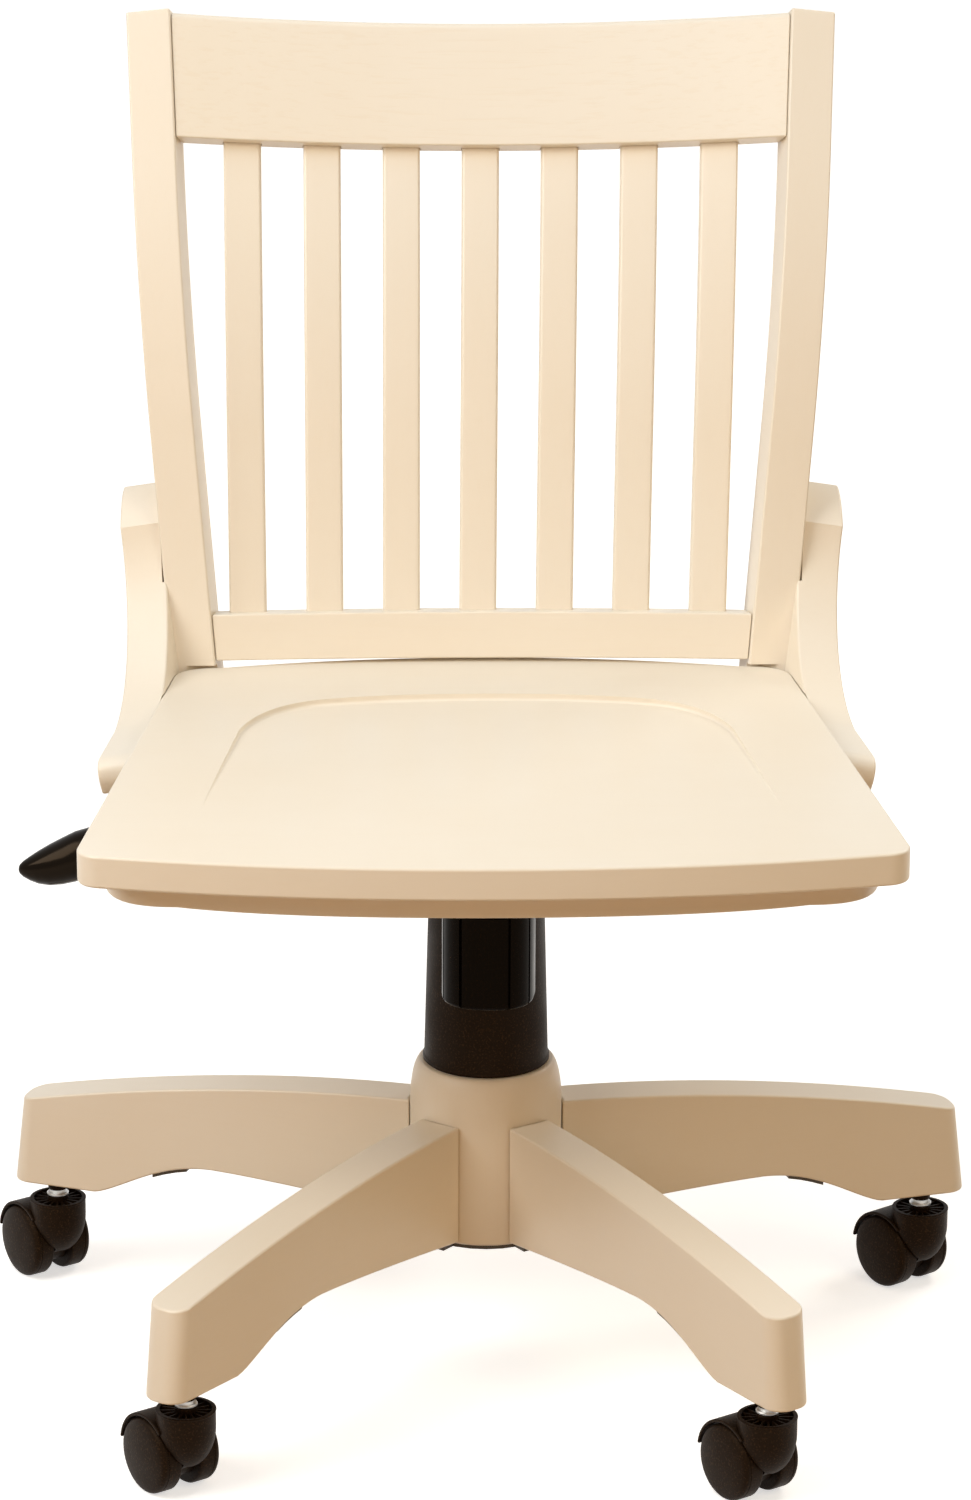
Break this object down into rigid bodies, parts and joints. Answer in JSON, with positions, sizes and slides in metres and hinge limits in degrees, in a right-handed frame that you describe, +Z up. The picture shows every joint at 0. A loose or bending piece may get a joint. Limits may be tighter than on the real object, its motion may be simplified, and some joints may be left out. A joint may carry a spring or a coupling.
{
  "type": "bankers swivel chair",
  "caption": "Painted wooden desk chair on a five-leg caster base, with a gas lift, a tilting saddle seat and a slatted back held by swan-neck brackets.",
  "frame": {"origin": "on the floor, under the swivel axis", "axes": "+Z up along the swivel axis, -Y the way the sitter faces, +X towards the sitter's left hand"},
  "size_m": [0.6301, 0.6156, 0.8117],
  "materials": {
    "cream_paint": "antique white satin paint over solid wood",
    "black_steel": "black enamel",
    "bright_steel": "bright zinc plate",
    "black_plastic": "fine textured brown-black moulding",
    "gloss_plastic": "polished black moulding",
    "nylon": "natural nylon"
  },
  "bodies": {
    "base": {"base_hub": "cream_paint", "leg_1": "cream_paint", "leg_2": "cream_paint", "leg_3": "cream_paint", "leg_4": "cream_paint", "leg_5": "cream_paint", "base_spider": "black_steel", "caster_stem_1": "bright_steel", "caster_stem_2": "bright_steel", "caster_stem_3": "bright_steel", "caster_stem_4": "bright_steel", "caster_stem_5": "bright_steel", "stand_tube": "black_steel", "guide_bush": "nylon", "thrust_bearing": "bright_steel", "dust_cover_lower": "black_plastic"},
    "swivel_rod": {"piston_rod": "bright_steel", "retaining_clip": "bright_steel"},
    "cover_stage": {"dust_cover_middle": "black_plastic"},
    "lift_column": {"pressure_cylinder": "black_steel", "control_housing": "black_steel", "tilt_pin": "bright_steel", "tension_spring": "black_steel", "dust_cover_upper": "black_plastic"},
    "height_lever": {"lever_rod": "black_steel", "lever_paddle": "gloss_plastic"},
    "valve": {"valve_button": "bright_steel"},
    "seat_and_back": {"seat_plate": "black_steel", "seat_board": "cream_paint", "seat_underboard": "cream_paint", "tension_bolt": "bright_steel", "left_post": "cream_paint", "right_post": "cream_paint", "crest_rail": "cream_paint", "lower_rail": "cream_paint", "slat_1": "cream_paint", "slat_2": "cream_paint", "slat_3": "cream_paint", "slat_4": "cream_paint", "slat_5": "cream_paint", "slat_6": "cream_paint", "slat_7": "cream_paint", "left_bracket": "cream_paint", "right_bracket": "cream_paint"},
    "knob": {"tension_knob": "black_plastic"},
    "caster_1": {"caster_hood_1": "black_plastic"},
    "wheel_1_left": {"caster_wheel_1_left": "black_plastic"},
    "wheel_1_right": {"caster_wheel_1_right": "black_plastic"},
    "caster_2": {"caster_hood_2": "black_plastic"},
    "wheel_2_left": {"caster_wheel_2_left": "black_plastic"},
    "wheel_2_right": {"caster_wheel_2_right": "black_plastic"},
    "caster_3": {"caster_hood_3": "black_plastic"},
    "wheel_3_left": {"caster_wheel_3_left": "black_plastic"},
    "wheel_3_right": {"caster_wheel_3_right": "black_plastic"},
    "caster_4": {"caster_hood_4": "black_plastic"},
    "wheel_4_left": {"caster_wheel_4_left": "black_plastic"},
    "wheel_4_right": {"caster_wheel_4_right": "black_plastic"},
    "caster_5": {"caster_hood_5": "black_plastic"},
    "wheel_5_left": {"caster_wheel_5_left": "black_plastic"},
    "wheel_5_right": {"caster_wheel_5_right": "black_plastic"}
  },
  "joints": [
    {"name": "seat_swivel", "type": "hinge", "parent": "base", "child": "swivel_rod", "pos_m": [0, 0, 0.087], "axis": [0, 0, 1], "continuous": true},
    {"name": "seat_height", "type": "slide", "parent": "swivel_rod", "child": "lift_column", "axis": [0, 0, 1], "range_m": [0, 0.09]},
    {"name": "cover_extend", "type": "slide", "parent": "base", "child": "cover_stage", "axis": [0, 0, 1], "range_m": [0, 0.045]},
    {"name": "seat_tilt", "type": "hinge", "parent": "lift_column", "child": "seat_and_back", "pos_m": [0, 0.038, 0.342], "axis": [-1, 0, 0], "range_deg": [0, 9], "stiffness_Nm_per_rad": 150, "springref_deg": -8.59, "deforming": ["tension_spring"]},
    {"name": "knob_turn", "type": "hinge", "parent": "seat_and_back", "child": "knob", "pos_m": [0, -0.07, 0.288], "axis": [0, 0, 1], "continuous": true},
    {"name": "lever_lift", "type": "hinge", "parent": "lift_column", "child": "height_lever", "pos_m": [-0.04075, 0, 0.3509], "axis": [0, 1, 0], "range_deg": [0, 5], "stiffness_Nm_per_rad": 3, "springref_deg": -6.88},
    {"name": "valve_press", "type": "slide", "parent": "lift_column", "child": "valve", "axis": [0, 0, -1], "range_m": [0, 0.004]},
    {"name": "caster_swivel_1", "type": "hinge", "parent": "base", "child": "caster_1", "pos_m": [-0.18386, -0.23197, 0.05], "axis": [0, 0, 1], "continuous": true},
    {"name": "wheel_spin_1_left", "type": "hinge", "parent": "caster_1", "child": "wheel_1_left", "pos_m": [-0.19361, -0.21805, 0.0235], "axis": [-0.8192, -0.5736, 0], "continuous": true},
    {"name": "wheel_spin_1_right", "type": "hinge", "parent": "caster_1", "child": "wheel_1_right", "pos_m": [-0.19361, -0.21805, 0.0235], "axis": [-0.8192, -0.5736, 0], "continuous": true},
    {"name": "caster_swivel_2", "type": "hinge", "parent": "base", "child": "caster_2", "pos_m": [-0.27743, 0.10318, 0.05], "axis": [0, 0, 1], "continuous": true},
    {"name": "wheel_spin_2_left", "type": "hinge", "parent": "caster_2", "child": "wheel_2_left", "pos_m": [-0.28694, 0.11727, 0.0235], "axis": [-0.829, -0.5592, 0], "continuous": true},
    {"name": "wheel_spin_2_right", "type": "hinge", "parent": "caster_2", "child": "wheel_2_right", "pos_m": [-0.28694, 0.11727, 0.0235], "axis": [-0.829, -0.5592, 0], "continuous": true},
    {"name": "caster_swivel_3", "type": "hinge", "parent": "base", "child": "caster_3", "pos_m": [0.01239, 0.29574, 0.05], "axis": [0, 0, 1], "continuous": true},
    {"name": "wheel_spin_3_left", "type": "hinge", "parent": "caster_3", "child": "wheel_3_left", "pos_m": [0.0039, 0.31046, 0.0235], "axis": [-0.866, -0.5, 0], "continuous": true},
    {"name": "wheel_spin_3_right", "type": "hinge", "parent": "caster_3", "child": "wheel_3_right", "pos_m": [0.0039, 0.31046, 0.0235], "axis": [-0.866, -0.5, 0], "continuous": true},
    {"name": "caster_swivel_4", "type": "hinge", "parent": "base", "child": "caster_4", "pos_m": [0.2851, 0.0796, 0.05], "axis": [0, 0, 1], "continuous": true},
    {"name": "wheel_spin_4_left", "type": "hinge", "parent": "caster_4", "child": "wheel_4_left", "pos_m": [0.27487, 0.09318, 0.0235], "axis": [-0.7986, -0.6018, 0], "continuous": true},
    {"name": "wheel_spin_4_right", "type": "hinge", "parent": "caster_4", "child": "wheel_4_right", "pos_m": [0.27487, 0.09318, 0.0235], "axis": [-0.7986, -0.6018, 0], "continuous": true},
    {"name": "caster_swivel_5", "type": "hinge", "parent": "base", "child": "caster_5", "pos_m": [0.1638, -0.24654, 0.05], "axis": [0, 0, 1], "continuous": true},
    {"name": "wheel_spin_5_left", "type": "hinge", "parent": "caster_5", "child": "wheel_5_left", "pos_m": [0.1543, -0.23245, 0.0235], "axis": [-0.829, -0.5592, 0], "continuous": true},
    {"name": "wheel_spin_5_right", "type": "hinge", "parent": "caster_5", "child": "wheel_5_right", "pos_m": [0.1543, -0.23245, 0.0235], "axis": [-0.829, -0.5592, 0], "continuous": true}
  ],
  "couplings": [
    {"joint": "cover_extend", "follows": "seat_height", "ratio": 0.5},
    {"joint": "valve_press", "follows": "lever_lift", "m_per_rad": 0.041}
  ]
}
